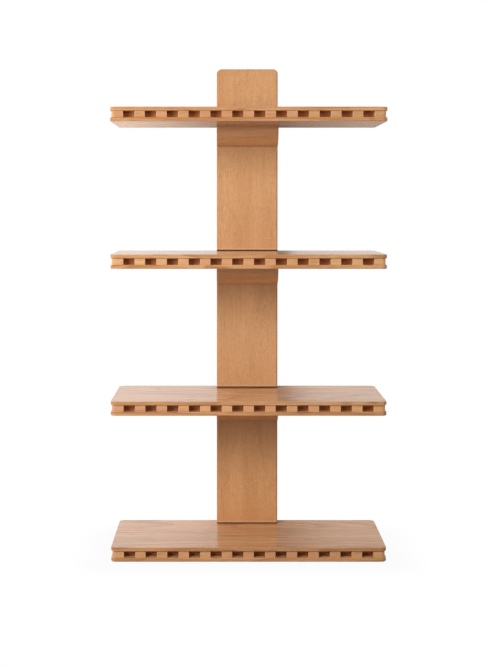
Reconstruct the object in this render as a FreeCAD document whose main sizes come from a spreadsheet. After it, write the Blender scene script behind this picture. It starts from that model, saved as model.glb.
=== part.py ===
"""Spine bookshelf: four sandwich shelves carried by a stacked upright spine.

+Z is up, +X is to the right and the front faces -Y. The origin lies on the floor, under the middle of the
shelves. Each piece is a body of its own, and its sizes follow the sheet of driving dimensions.
"""
import FreeCAD
import Part
import Sketcher
import os
from math import pi
from FreeCAD import Vector

# Driving dimensions, in millimetres, and three counts
SIZES = {
    # shelves
    "shelf_width": "850",
    "shelf_depth": "300",
    "skin_thickness": "12",
    "core_thickness": "20",
    "shelf_corner_radius": "16",
    "skin_edge_radius": "2",
    "core_recess": "4",
    # notched front rail and the rest of the shelf core
    "pocket_count": "12",
    "pocket_width": "34.7",
    "pocket_depth": "24",
    "end_tooth_width": "36.2",
    "tooth_edge_radius": "0.8",
    "rail_web": "20",
    "rear_rail_depth": "40",
    "end_rail_width": "40",
    "rib_width": "25",
    "ribs_per_side": "2",
    # spine
    "spine_width": "200",
    "spine_panel_thickness": "12",
    "spine_core_thickness": "20",
    "bay_height": "408",
    "stub_height": "145",
    "stub_corner_radius": "16",
    "spine_edge_radius": "5",
    "edge_stile_width": "30",
    "centre_stile_width": "90",
    # brackets
    "bracket_radius": "65",
    "bracket_edge_radius": "3",
    # dowels
    "dowel_diameter": "10",
    "dowel_depth": "20",
    "dowel_web": "4",
    "dowel_clearance": "0.1",
    "dowel_chamfer": "1",
    "spine_dowel_spacing": "50",
    "bracket_dowel_drop": "25",
    "bracket_dowel_reach": "32",
    "bracket_dowel_spacing": "60",
    # tie rods and their ends
    "rod_diameter": "8",
    "rod_clearance": "0.5",
    "rod_chamfer": "0.8",
    "rod_tail": "1.5",
    "rod_head": "14",
    "thread_clearance": "0.05",
    "washer_diameter": "24",
    "washer_thickness": "2",
    "nut_flats": "13",
    "nut_height": "6.5",
    "counterbore_clearance": "1",
    "barrel_nut_diameter": "14",
    "barrel_nut_length": "18",
    "barrel_nut_height": "60",
    "barrel_nut_clearance": "0.15",
    # wall inserts
    "insert_diameter": "9",
    "insert_bore": "5",
    "insert_length": "16",
    "insert_room": "2",
    "insert_clearance": "0.1",
    "insert_spacing": "60",
    "insert_drop": "35",
    # floor glides and their screws
    "glide_diameter": "30",
    "glide_thickness": "4",
    "glide_chamfer": "1",
    "glide_inset": "35",
    "screw_diameter": "4",
    "screw_head_diameter": "7.5",
    "screw_recess": "0.6",
    "screw_tip_gap": "1.5",
    "screw_clearance": "0.1",
    "slot_width": "1.2",
    "slot_depth": "1",
}

# Lengths and places that follow from the driving dimensions, written as expressions
shelf_thickness = "(2 * Sizes.skin_thickness + Sizes.core_thickness)"
shelf_pitch = f"({shelf_thickness} + Sizes.bay_height)"
half_width = "(Sizes.shelf_width / 2)"
half_depth = "(Sizes.shelf_depth / 2)"
core_half_width = f"({half_width} - Sizes.core_recess)"
core_half_depth = f"({half_depth} - Sizes.core_recess)"
core_corner_radius = "(Sizes.shelf_corner_radius - Sizes.core_recess)"
front_rail_depth = "(Sizes.pocket_depth + Sizes.rail_web)"
front_rail_back = f"({front_rail_depth} - {core_half_depth})"
rear_rail_front = f"({core_half_depth} - Sizes.rear_rail_depth)"
pocket_run = f"(2 * {core_half_width} - 2 * Sizes.end_tooth_width - Sizes.pocket_width)"
pocket_pitch = f"({pocket_run} / (Sizes.pocket_count - 1))"
rib_run = f"({core_half_width} - Sizes.end_rail_width - Sizes.spine_width / 2)"
rib_pitch = f"({rib_run} / (Sizes.ribs_per_side + 1))"

half_spine = "(Sizes.spine_width / 2)"
spine_thickness = "(2 * Sizes.spine_panel_thickness + Sizes.spine_core_thickness)"
spine_front = f"({half_depth} - {spine_thickness})"
spine_core_front = f"({spine_front} + Sizes.spine_panel_thickness)"
spine_core_back = f"({half_depth} - Sizes.spine_panel_thickness)"
spine_middle = f"({half_depth} - {spine_thickness} / 2)"
edge_stile_middle = f"({half_spine} - Sizes.edge_stile_width / 2)"
stub_bottom = f"(Sizes.glide_thickness + 3 * {shelf_pitch} + {shelf_thickness})"

dowel_hole = "(Sizes.dowel_diameter + 2 * Sizes.dowel_clearance)"
dowel_in_block = "((Sizes.core_thickness - Sizes.dowel_web) / 2)"
dowel_in_shelf = f"(Sizes.skin_thickness + {dowel_in_block})"
dowel_in_stile = "((Sizes.spine_core_thickness - Sizes.dowel_web) / 2)"
dowel_in_spine = f"(Sizes.spine_panel_thickness + {dowel_in_stile})"
spine_dowel_x = "(Sizes.spine_dowel_spacing / 2)"
bracket_dowel_x = "(Sizes.bracket_dowel_spacing / 2)"
bracket_dowel_y = f"({spine_front} - Sizes.bracket_dowel_reach)"

rod_x = f"(({half_spine} - Sizes.edge_stile_width + Sizes.centre_stile_width / 2) / 2)"
rod_hole = "(Sizes.rod_diameter + 2 * Sizes.rod_clearance)"
threaded_bore = "(Sizes.rod_diameter + 2 * Sizes.thread_clearance)"
rod_top = "(Sizes.barrel_nut_height + Sizes.rod_head)"
counterbore = "(Sizes.washer_diameter + 2 * Sizes.counterbore_clearance)"
washer_bottom = "(Sizes.glide_thickness + Sizes.skin_thickness - Sizes.washer_thickness)"
nut_bottom = f"({washer_bottom} - Sizes.nut_height)"
rod_bottom = f"({nut_bottom} - Sizes.rod_tail)"
barrel_nut_hole = "(Sizes.barrel_nut_diameter + 2 * Sizes.barrel_nut_clearance)"

insert_hole = "(Sizes.insert_diameter + 2 * Sizes.insert_clearance)"
insert_x = "(Sizes.insert_spacing / 2)"
insert_z = "(Sizes.stub_height - Sizes.insert_drop)"
insert_in_core = "(Sizes.insert_length + Sizes.insert_room - Sizes.spine_panel_thickness)"

glide_x = f"({half_width} - Sizes.glide_inset)"
glide_y = f"({half_depth} - Sizes.glide_inset)"
screw_hole = "(Sizes.screw_diameter + 2 * Sizes.screw_clearance)"
screw_head_height = "((Sizes.screw_head_diameter - Sizes.screw_diameter) / 2)"
screw_tip = "(Sizes.glide_thickness + Sizes.skin_thickness - Sizes.screw_tip_gap)"

doc = FreeCAD.newDocument("spine_bookshelf")
sheet = doc.addObject("Spreadsheet::Sheet", "Sizes")
for row, (alias, text) in enumerate(SIZES.items(), start=1):
    sheet.set(f"A{row}", alias)
    sheet.set(f"B{row}", text)
    sheet.setAlias(f"B{row}", alias)
doc.recompute()

pieces = []
SAME_PLACE = 0.001


def value(expression):
    """The number that an expression over the sheet gives."""
    return float(sheet.evalExpression(expression))


def new_piece(label, x="0", y="0", z="0"):
    """An empty body, whose own origin stands at the given place."""
    body = doc.addObject("PartDesign::Body", label)
    body.Label = label
    for axis, place in zip("xyz", (x, y, z)):
        body.setExpression(f"Placement.Base.{axis}", place)
    pieces.append(body)
    return body


def origin_part(body, role):
    """A plane or axis of the body's own origin."""
    return next(part for part in body.Origin.OriginFeatures if part.Role == role)


def sketch_on(body, role, offset="0"):
    """An empty sketch on an origin plane, moved along the plane's normal."""
    sketch = body.newObject("Sketcher::SketchObject", "Sketch")
    sketch.AttachmentSupport = [(origin_part(body, role), "")]
    sketch.MapMode = "FlatFace"
    sketch.setExpression("AttachmentOffset.Base.z", offset)
    return sketch


def bind(sketch, kind, *where, size):
    """A dimension of the sketch that follows an expression."""
    index = sketch.addConstraint(Sketcher.Constraint(kind, *where, value(size)))
    sketch.setExpression(f"Constraints[{index}]", size)


def outline(sketch, corners):
    """A closed outline of straight lines through corners given as pairs of expressions."""
    points = [Vector(value(x), value(y), 0) for x, y in corners]
    count = len(points)
    for index in range(count):
        sketch.addGeometry(Part.LineSegment(points[index], points[(index + 1) % count]))
    for index in range(count):
        sketch.addConstraint(Sketcher.Constraint("Coincident", index, 2, (index + 1) % count, 1))
    for index, (x, y) in enumerate(corners):
        if x == "0":
            sketch.addConstraint(Sketcher.Constraint("PointOnObject", index, 1, -2))
        else:
            bind(sketch, "DistanceX", -1, 1, index, 1, size=x)
        if y == "0":
            sketch.addConstraint(Sketcher.Constraint("PointOnObject", index, 1, -1))
        else:
            bind(sketch, "DistanceY", -1, 1, index, 1, size=y)


def rectangle(sketch, left, right, low, high):
    """A rectangle between two places across and two places up the sketch."""
    outline(sketch, [(left, low), (right, low), (right, high), (left, high)])


def circle(sketch, x, y, diameter):
    """A circle about a point of the sketch."""
    centre = Vector(value(x), value(y), 0)
    index = sketch.addGeometry(Part.Circle(centre, Vector(0, 0, 1), value(diameter) / 2))
    for kind, geometry_point, place in (("DistanceX", 3, x), ("DistanceY", 3, y)):
        if place == "0":
            axis = -2 if kind == "DistanceX" else -1
            sketch.addConstraint(Sketcher.Constraint("PointOnObject", index, geometry_point, axis))
        else:
            bind(sketch, kind, -1, 1, index, geometry_point, size=place)
    bind(sketch, "Diameter", index, size=diameter)


def pair_of_circles(sketch, x, y, diameter):
    """Two equal circles, one each side of the middle plane."""
    circle(sketch, f"-{x}", y, diameter)
    circle(sketch, x, y, diameter)


def pad(body, sketch, length):
    """The sketch raised along its normal."""
    feature = body.newObject("PartDesign::Pad", "Pad")
    feature.Profile = sketch
    feature.setExpression("Length", length)
    return feature


def pocket(body, sketch, depth=None, along_normal=False, both_ways=False):
    """The sketch cut away, right through or to a depth."""
    doc.recompute()
    before = body.Tip.Shape.Volume
    feature = body.newObject("PartDesign::Pocket", "Pocket")
    feature.Profile = sketch
    feature.Reversed = along_normal
    if both_ways:
        feature.SideType = "Symmetric"
    if depth is None:
        feature.Type = "ThroughAll"
    else:
        feature.setExpression("Length", depth)
    doc.recompute()
    if not feature.Shape.Volume < before:
        raise ValueError(f"{body.Label}: a pocket cuts nothing")
    return feature


def fillet(body, radius, wanted):
    """Rounds the edges that the test picks."""
    doc.recompute()
    base = body.Tip
    edges = [f"Edge{number}" for number, edge in enumerate(base.Shape.Edges, start=1) if wanted(edge)]
    feature = body.newObject("PartDesign::Fillet", "Fillet")
    feature.Base = (base, edges)
    feature.setExpression("Radius", radius)
    return feature


def turned(body, role, profile):
    """A round piece: a profile of radius and height pairs, turned about the sketch's upright axis."""
    sketch = sketch_on(body, role)
    outline(sketch, profile)
    feature = body.newObject("PartDesign::Revolution", "Turning")
    feature.Profile = sketch
    feature.ReferenceAxis = (sketch, ["V_Axis"])
    feature.Angle = 360
    return feature


def mirrored_piece(body):
    """The whole piece once more on the other side of the middle plane."""
    doc.recompute()
    feature = body.newObject("PartDesign::Mirrored", "Mirror")
    feature.TransformMode = "Whole shape"
    feature.MirrorPlane = (origin_part(body, "YZ_Plane"), [""])
    body.Tip = feature
    return feature


def repeat(body, axis, spacing, count, originals=None):
    """The whole piece, or some of its features, repeated along an axis."""
    doc.recompute()
    feature = body.newObject("PartDesign::LinearPattern", "Repeat")
    if originals is None:
        feature.TransformMode = "Whole shape"
    else:
        feature.Originals = originals
    feature.Direction = (origin_part(body, axis), [""])
    feature.Mode = "Spacing"
    feature.setExpression("Offset", spacing)
    feature.setExpression("Occurrences", count)
    body.Tip = feature
    return feature


def is_along(edge, direction):
    """Whether an edge is a straight line along a direction."""
    if edge.Curve.TypeId != "Part::GeomLine":
        return False
    return abs(abs(edge.Curve.Direction.dot(direction)) - 1) < SAME_PLACE


def middle(edge):
    """The middle point of an edge's box."""
    return edge.BoundBox.Center


def is_at(number, expression):
    """Whether a coordinate lies at a place given by an expression."""
    return abs(number - value(expression)) < SAME_PLACE


def upright(edge):
    """Whether an edge stands upright."""
    return is_along(edge, Vector(0, 0, 1))


def level(edge):
    """Whether an edge lies in a level plane."""
    return edge.BoundBox.ZLength < SAME_PLACE


def shelf_level(index):
    """The underside of a shelf, counted from the base shelf."""
    return f"(Sizes.glide_thickness + {index} * {shelf_pitch})"


# Shelf panels: wide boards with rounded plan corners and eased edges

def shelf_panel(label, z):
    body = new_piece(label, z=z)
    sketch = sketch_on(body, "XY_Plane")
    rectangle(sketch, f"-{half_width}", half_width, f"-{half_depth}", half_depth)
    pad(body, sketch, "Sizes.skin_thickness")
    fillet(body, "Sizes.shelf_corner_radius", upright)
    fillet(body, "Sizes.skin_edge_radius", level)
    return body


def drill_up(body, holes):
    """Holes right through a flat piece that lies on its own level plane."""
    sketch = sketch_on(body, "XY_Plane")
    for x, y, diameter in holes:
        pair_of_circles(sketch, x, y, diameter)
    pocket(body, sketch, along_normal=True)


rod_bores = (rod_x, spine_middle, rod_hole)
spine_dowel_bores = (spine_dowel_x, spine_middle, dowel_hole)
bracket_dowel_bores = (bracket_dowel_x, bracket_dowel_y, dowel_hole)


def top_panel(shelf, index):
    z = f"{shelf_level(index)} + Sizes.skin_thickness + Sizes.core_thickness"
    body = shelf_panel(f"{shelf}_top_panel", z)
    drill_up(body, [rod_bores, spine_dowel_bores])


def bottom_panel(shelf, index):
    body = shelf_panel(f"{shelf}_bottom_panel", shelf_level(index))
    if index == 0:
        glide_screw_bores = [(glide_x, glide_y, screw_hole), (glide_x, f"-{glide_y}", screw_hole)]
        drill_up(body, [(rod_x, spine_middle, counterbore)] + glide_screw_bores)
    else:
        drill_up(body, [rod_bores, spine_dowel_bores, bracket_dowel_bores])


# Shelf core: a notched front rail, a block under the spine, rear rails, end rails and ribs

whole_core = (f"-{core_half_width}", core_half_width)
whole_spine = (f"-{half_spine}", half_spine)
beside_spine = (half_spine, core_half_width)
front_strip = (f"-{core_half_depth}", front_rail_back)
middle_strip = (front_rail_back, rear_rail_front)
rear_strip = (rear_rail_front, core_half_depth)
block_strip = (front_rail_back, core_half_depth)


def core_piece(shelf, index, name, across, along):
    """A core part between the panels, over one span across the shelf and one along its depth."""
    z = f"{shelf_level(index)} + Sizes.skin_thickness"
    body = new_piece(f"{shelf}_{name}", z=z)
    sketch = sketch_on(body, "XY_Plane")
    rectangle(sketch, *across, *along)
    pad(body, sketch, "Sizes.core_thickness")
    return body


def dentil_rail(shelf, index):
    front = f"-{core_half_depth}"

    def on_front(edge):
        return upright(edge) and is_at(middle(edge).y, front)

    body = core_piece(shelf, index, "dentil_rail", whole_core, front_strip)
    fillet(body, core_corner_radius, on_front)
    first = f"(Sizes.end_tooth_width - {core_half_width})"
    sketch = sketch_on(body, "XY_Plane")
    rectangle(sketch, first, f"({first} + Sizes.pocket_width)",
              f"({front} - Sizes.pocket_depth)", f"({front} + Sizes.pocket_depth)")
    notch = pocket(body, sketch, along_normal=True)
    repeat(body, "X_Axis", pocket_pitch, "Sizes.pocket_count", [notch])
    fillet(body, "Sizes.tooth_edge_radius", on_front)


def spine_block(shelf, index):
    body = core_piece(shelf, index, "spine_block", whole_spine, block_strip)
    drill_up(body, [rod_bores])
    upper = sketch_on(body, "XY_Plane", "Sizes.core_thickness")
    pair_of_circles(upper, *spine_dowel_bores)
    pocket(body, upper, dowel_in_block)
    if index > 0:
        lower = sketch_on(body, "XY_Plane")
        pair_of_circles(lower, *spine_dowel_bores)
        pair_of_circles(lower, *bracket_dowel_bores)
        pocket(body, lower, dowel_in_block, along_normal=True)


def rear_rails(shelf, index):
    def outer_corner(edge):
        point = middle(edge)
        return upright(edge) and is_at(point.x, core_half_width) and is_at(point.y, core_half_depth)

    body = core_piece(shelf, index, "rear_rails", beside_spine, rear_strip)
    fillet(body, core_corner_radius, outer_corner)
    mirrored_piece(body)


def end_rails(shelf, index):
    at_end = (f"({core_half_width} - Sizes.end_rail_width)", core_half_width)
    body = core_piece(shelf, index, "end_rails", at_end, middle_strip)
    mirrored_piece(body)


def ribs(shelf, index):
    left = f"({half_spine} + {rib_pitch} - Sizes.rib_width / 2)"
    body = core_piece(shelf, index, "ribs", (left, f"({left} + Sizes.rib_width)"), middle_strip)
    repeat(body, "X_Axis", rib_pitch, "Sizes.ribs_per_side")
    mirrored_piece(body)


# Spine: boards and stiles that stand on a shelf, in three layers from front to back

front_layer = (spine_front, spine_core_front)
core_layer = (spine_core_front, spine_core_back)
back_layer = (spine_core_back, half_depth)
bracket_bores = (edge_stile_middle, "(Sizes.bay_height - Sizes.bracket_dowel_drop)", dowel_hole)
barrel_nut_bores = (rod_x, "Sizes.barrel_nut_height", barrel_nut_hole)
insert_bores = (insert_x, insert_z, insert_hole)


def spine_piece(label, z, across, layer, height):
    """An upright part of the spine, over one span across it and one of its layers."""
    body = new_piece(label, z=z)
    sketch = sketch_on(body, "XY_Plane")
    rectangle(sketch, *across, *layer)
    pad(body, sketch, height)
    return body


def drill_back(body, face, holes):
    """Level holes right through a part, from its front face."""
    sketch = sketch_on(body, "XZ_Plane", f"-{face}")
    for x, z, diameter in holes:
        pair_of_circles(sketch, x, z, diameter)
    pocket(body, sketch)


def drill_end(body, offset, depth, downwards):
    """The two dowel holes in an end of an upright part."""
    sketch = sketch_on(body, "XY_Plane", offset)
    pair_of_circles(sketch, *spine_dowel_bores)
    pocket(body, sketch, depth, along_normal=not downwards)


def on_spine_front(edge):
    return is_at(middle(edge).y, spine_front)


def on_spine_back(edge):
    return is_at(middle(edge).y, half_depth)


def round_stub_corners(body):
    """The two top corners, seen from the front."""
    def top_corner(edge):
        return is_along(edge, Vector(0, 1, 0)) and is_at(middle(edge).z, "Sizes.stub_height")

    fillet(body, "Sizes.stub_corner_radius", top_corner)


def spine_segment(name, index):
    z = f"{shelf_level(index)} + {shelf_thickness}"
    tall = "Sizes.bay_height"

    front = spine_piece(f"{name}_front_panel", z, whole_spine, front_layer, tall)
    fillet(front, "Sizes.spine_edge_radius",
           lambda edge: on_spine_front(edge) and not is_at(middle(edge).z, tall))
    drill_back(front, spine_front, [bracket_bores])

    right_edge = (f"({half_spine} - Sizes.edge_stile_width)", half_spine)
    edge_stiles = spine_piece(f"{name}_edge_stiles", z, right_edge, core_layer, tall)
    sketch = sketch_on(edge_stiles, "XZ_Plane", f"-{spine_core_front}")
    circle(sketch, *bracket_bores)
    pocket(edge_stiles, sketch, dowel_in_stile)
    mirrored_piece(edge_stiles)

    half_stile = "(Sizes.centre_stile_width / 2)"
    centre_stile = spine_piece(f"{name}_centre_stile", z, (f"-{half_stile}", half_stile), core_layer, tall)
    drill_end(centre_stile, "0", "Sizes.dowel_depth", downwards=False)
    drill_end(centre_stile, tall, "Sizes.dowel_depth", downwards=True)

    back = spine_piece(f"{name}_back_panel", z, whole_spine, back_layer, tall)
    fillet(back, "Sizes.spine_edge_radius", lambda edge: on_spine_back(edge) and upright(edge))


def spine_stub():
    tall = "Sizes.stub_height"

    front = spine_piece("stub_front_panel", stub_bottom, whole_spine, front_layer, tall)
    round_stub_corners(front)
    fillet(front, "Sizes.spine_edge_radius", on_spine_front)

    core = spine_piece("stub_core", stub_bottom, whole_spine, core_layer, tall)
    round_stub_corners(core)
    rod_sketch = sketch_on(core, "XY_Plane")
    pair_of_circles(rod_sketch, *rod_bores)
    pocket(core, rod_sketch, f"({rod_top} + Sizes.rod_clearance)", along_normal=True)
    drill_end(core, "0", "Sizes.dowel_depth", downwards=False)
    drill_back(core, spine_core_front, [barrel_nut_bores])
    insert_sketch = sketch_on(core, "XZ_Plane", f"-{spine_core_back}")
    pair_of_circles(insert_sketch, *insert_bores)
    pocket(core, insert_sketch, insert_in_core, along_normal=True)

    back = spine_piece("stub_back_panel", stub_bottom, whole_spine, back_layer, tall)
    round_stub_corners(back)
    fillet(back, "Sizes.spine_edge_radius",
           lambda edge: on_spine_back(edge) and not is_at(middle(edge).z, "0"))
    drill_back(back, spine_core_back, [barrel_nut_bores, insert_bores])


# Brackets: solid quarter-rounds under a shelf, against the front of the spine

def quarter_round(sketch, radius):
    """A quarter disc, from level at the front of its corner to straight below it."""
    size = value(radius)
    corner = Vector(0, 0, 0)
    sketch.addGeometry(Part.LineSegment(corner, Vector(-size, 0, 0)))
    sketch.addGeometry(Part.ArcOfCircle(Part.Circle(corner, Vector(0, 0, 1), size), pi, 1.5 * pi))
    sketch.addGeometry(Part.LineSegment(Vector(0, -size, 0), corner))
    for constraint in (("Coincident", 0, 1, -1, 1), ("Coincident", 0, 2, 1, 1), ("Coincident", 1, 2, 2, 1),
                       ("Coincident", 2, 2, -1, 1), ("Coincident", 1, 3, -1, 1), ("Horizontal", 0),
                       ("Vertical", 2)):
        sketch.addConstraint(Sketcher.Constraint(*constraint))
    bind(sketch, "Radius", 1, size=radius)


def bracket(name, index):
    body = new_piece(f"{name}_bracket", y=spine_front, z=shelf_level(index))
    sketch = sketch_on(body, "YZ_Plane")
    quarter_round(sketch, "Sizes.bracket_radius")
    block = pad(body, sketch, "Sizes.spine_width")
    block.SideType = "Symmetric"
    fillet(body, "Sizes.bracket_edge_radius", lambda edge: edge.Curve.TypeId == "Part::GeomCircle")

    top = sketch_on(body, "XY_Plane")
    pair_of_circles(top, bracket_dowel_x, "-Sizes.bracket_dowel_reach", dowel_hole)
    pocket(body, top, "Sizes.dowel_depth")
    back = sketch_on(body, "XZ_Plane")
    pair_of_circles(back, edge_stile_middle, "-Sizes.bracket_dowel_drop", dowel_hole)
    pocket(body, back, "Sizes.dowel_depth", along_normal=True)


# Dowels: one round pin with chamfered ends, repeated at its joints

def dowels(label, role, length, x, y, z, spacing, count):
    body = new_piece(label, f"-{x}", y, z)
    radius = "(Sizes.dowel_diameter / 2)"
    tip = f"({radius} - Sizes.dowel_chamfer)"
    far = f"({length} - Sizes.dowel_chamfer)"
    turned(body, role, [("0", "0"), (tip, "0"), (radius, "Sizes.dowel_chamfer"), (radius, far),
                        (tip, length), ("0", length)])
    repeat(body, "X_Axis", spacing, "2")
    repeat(body, "Z_Axis", shelf_pitch, count)


def all_dowels():
    spine_dowel = f"(Sizes.dowel_depth + {dowel_in_shelf})"
    side_dowel = f"(Sizes.dowel_depth + {dowel_in_spine})"
    base_top = f"({shelf_level(0)} + {shelf_thickness} - {dowel_in_shelf})"
    first_underside = f"({shelf_level(1)} - Sizes.dowel_depth)"
    dowels("shelf_top_dowels", "XZ_Plane", spine_dowel, spine_dowel_x, spine_middle, base_top,
           "Sizes.spine_dowel_spacing", "4")
    dowels("shelf_underside_dowels", "XZ_Plane", spine_dowel, spine_dowel_x, spine_middle, first_underside,
           "Sizes.spine_dowel_spacing", "3")
    dowels("bracket_top_dowels", "XZ_Plane", spine_dowel, bracket_dowel_x, bracket_dowel_y, first_underside,
           "Sizes.bracket_dowel_spacing", "3")
    dowels("bracket_side_dowels", "XY_Plane", side_dowel, edge_stile_middle,
           f"({spine_front} - Sizes.dowel_depth)", f"({shelf_level(1)} - Sizes.bracket_dowel_drop)",
           f"(2 * {edge_stile_middle})", "3")


# Tie rods through the whole stack, with nuts under the base and barrel nuts in the stub

def tie_rods():
    body = new_piece("tie_rods", f"-{rod_x}", spine_middle, rod_bottom)
    length = f"({stub_bottom} + {rod_top} - {rod_bottom})"
    radius = "(Sizes.rod_diameter / 2)"
    tip = f"({radius} - Sizes.rod_chamfer)"
    turned(body, "XZ_Plane", [("0", "0"), (tip, "0"), (radius, "Sizes.rod_chamfer"),
                              (radius, f"({length} - Sizes.rod_chamfer)"), (tip, length), ("0", length)])
    repeat(body, "X_Axis", f"(2 * {rod_x})", "2")


def rod_washers():
    body = new_piece("rod_washers", f"-{rod_x}", spine_middle, washer_bottom)
    inner = f"({rod_hole} / 2)"
    outer = "(Sizes.washer_diameter / 2)"
    thick = "Sizes.washer_thickness"
    turned(body, "XZ_Plane", [(inner, "0"), (outer, "0"), (outer, thick), (inner, thick)])
    repeat(body, "X_Axis", f"(2 * {rod_x})", "2")


def rod_nuts():
    body = new_piece("rod_nuts", f"-{rod_x}", spine_middle, nut_bottom)
    prism = body.newObject("PartDesign::AdditivePrism", "Hexagon")
    prism.Polygon = 6
    prism.setExpression("Circumradius", "Sizes.nut_flats / sqrt(3)")
    prism.setExpression("Height", "Sizes.nut_height")
    sketch = sketch_on(body, "XY_Plane")
    circle(sketch, "0", "0", threaded_bore)
    pocket(body, sketch, along_normal=True)
    repeat(body, "X_Axis", f"(2 * {rod_x})", "2")


def cut_slot(body, role, offset, along_normal):
    """A screwdriver slot across the end of a round piece."""
    sketch = sketch_on(body, role, offset)
    half_slot = "(Sizes.slot_width / 2)"
    reach = "Sizes.barrel_nut_diameter"
    rectangle(sketch, f"-{reach}", reach, f"-{half_slot}", half_slot)
    pocket(body, sketch, "Sizes.slot_depth", along_normal)


def barrel_nuts():
    body = new_piece("barrel_nuts", f"-{rod_x}", spine_middle, f"{stub_bottom} + Sizes.barrel_nut_height")
    radius = "(Sizes.barrel_nut_diameter / 2)"
    half_length = "(Sizes.barrel_nut_length / 2)"
    turned(body, "XY_Plane", [("0", f"-{half_length}"), (radius, f"-{half_length}"), (radius, half_length),
                              ("0", half_length)])
    sketch = sketch_on(body, "XY_Plane")
    circle(sketch, "0", "0", threaded_bore)
    pocket(body, sketch, both_ways=True)
    cut_slot(body, "XZ_Plane", f"-{half_length}", True)
    repeat(body, "X_Axis", f"(2 * {rod_x})", "2")


# Wall inserts: threaded sleeves, flush with the back of the stub

def wall_inserts():
    body = new_piece("wall_inserts", f"-{insert_x}", f"{half_depth} - Sizes.insert_length",
                     f"{stub_bottom} + {insert_z}")
    inner = "(Sizes.insert_bore / 2)"
    outer = "(Sizes.insert_diameter / 2)"
    turned(body, "XY_Plane", [(inner, "0"), (outer, "0"), (outer, "Sizes.insert_length"),
                              (inner, "Sizes.insert_length")])
    repeat(body, "X_Axis", "Sizes.insert_spacing", "2")


# Floor glides under the base, each held by a countersunk screw

def at_glides(body):
    repeat(body, "X_Axis", f"(2 * {glide_x})", "2")
    repeat(body, "Y_Axis", f"(2 * {glide_y})", "2")


def floor_glides():
    body = new_piece("floor_glides", f"-{glide_x}", f"-{glide_y}")
    bore = f"({screw_hole} / 2)"
    sink = "(Sizes.screw_head_diameter / 2 + Sizes.screw_clearance)"
    outer = "(Sizes.glide_diameter / 2)"
    thick = "Sizes.glide_thickness"
    turned(body, "XZ_Plane", [(bore, thick), (bore, f"(Sizes.screw_recess + {screw_head_height})"),
                              (sink, "Sizes.screw_recess"), (sink, "0"),
                              (f"({outer} - Sizes.glide_chamfer)", "0"), (outer, "Sizes.glide_chamfer"),
                              (outer, thick)])
    at_glides(body)


def glide_screws():
    body = new_piece("glide_screws", f"-{glide_x}", f"-{glide_y}")
    shank = "(Sizes.screw_diameter / 2)"
    turned(body, "XZ_Plane", [("0", "Sizes.screw_recess"),
                              ("(Sizes.screw_head_diameter / 2)", "Sizes.screw_recess"),
                              (shank, f"(Sizes.screw_recess + {screw_head_height})"),
                              (shank, f"({screw_tip} - Sizes.screw_diameter)"), ("0", screw_tip)])
    cut_slot(body, "XY_Plane", "Sizes.screw_recess", True)
    at_glides(body)


shelves = ("base_shelf", "lower_shelf", "upper_shelf", "top_shelf")
for shelf_index, shelf_name in enumerate(shelves):
    bottom_panel(shelf_name, shelf_index)
    dentil_rail(shelf_name, shelf_index)
    spine_block(shelf_name, shelf_index)
    rear_rails(shelf_name, shelf_index)
    end_rails(shelf_name, shelf_index)
    ribs(shelf_name, shelf_index)
    top_panel(shelf_name, shelf_index)

segments = ("lower", "middle", "upper")
for segment_index, segment_name in enumerate(segments):
    spine_segment(f"{segment_name}_spine", segment_index)
    bracket(segment_name, segment_index + 1)
spine_stub()

all_dowels()
tie_rods()
rod_washers()
rod_nuts()
barrel_nuts()
wall_inserts()
floor_glides()
glide_screws()

# Every feature has to be sound before any piece is written
doc.recompute()
for item in doc.Objects:
    if "Invalid" in item.State or "Error" in item.State:
        raise ValueError(f"{item.Label} failed: {item.State}")
for piece in pieces:
    if piece.Shape.isNull() or not piece.Shape.isValid():
        raise ValueError(f"{piece.Label} has no sound shape")

os.makedirs("parts", exist_ok=True)
for piece in pieces:
    piece.Shape.exportStep(f"parts/{piece.Label}.step")
    print(f"{piece.Label}: {len(piece.Shape.Solids)} solid(s), {piece.Shape.Volume / 1000:.1f} cm3")
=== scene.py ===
# %% [markdown]
# # A spine bookshelf
#
# This bookshelf is a narrow upright spine that carries four equal shelves. Each shelf is a sandwich of two thin
# panels over a set-back core, and the front rail of that core has a row of square notches. All of it is one
# honey-coloured wood under a satin lacquer. The shapes come ready-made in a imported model, so this lesson is about
# what Blender adds to them: wood grain that runs the right way through every board, small metal and nylon
# fittings, soft studio light and a camera.

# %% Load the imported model
import math

import bmesh
import bpy
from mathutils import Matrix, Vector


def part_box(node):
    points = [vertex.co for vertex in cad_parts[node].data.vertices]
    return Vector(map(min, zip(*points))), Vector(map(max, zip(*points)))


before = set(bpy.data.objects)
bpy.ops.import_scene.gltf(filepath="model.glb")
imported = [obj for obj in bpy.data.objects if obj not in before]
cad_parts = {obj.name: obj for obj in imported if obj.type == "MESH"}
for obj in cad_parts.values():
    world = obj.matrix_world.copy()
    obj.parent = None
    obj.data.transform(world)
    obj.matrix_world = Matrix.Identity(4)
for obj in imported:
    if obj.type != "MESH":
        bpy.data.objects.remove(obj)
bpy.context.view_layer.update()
print("pieces in the packed model:", len(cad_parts))

# %% [markdown]
# ## Colours
#
# The wood, the fittings and the room are described by colours as the eye reads them on a screen, from 0 to 255. A
# shader counts light instead, in linear numbers from 0 to 1. They could be typed in directly, but nobody can picture
# them, so `colour` works them out from the screen's curve.

# %% A colour for a shader
def colour(red, green, blue):
    """A colour as seen on a screen, in the linear numbers of a shader."""
    linear = []
    for part in (red, green, blue):
        share = part / 255
        linear.append(share / 12.92 if share <= 0.04045 else ((share + 0.055) / 1.055) ** 2.4)
    return (*linear, 1.0)


print("mid grey 188 is", round(colour(188, 188, 188)[0], 3), "to a shader")

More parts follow.
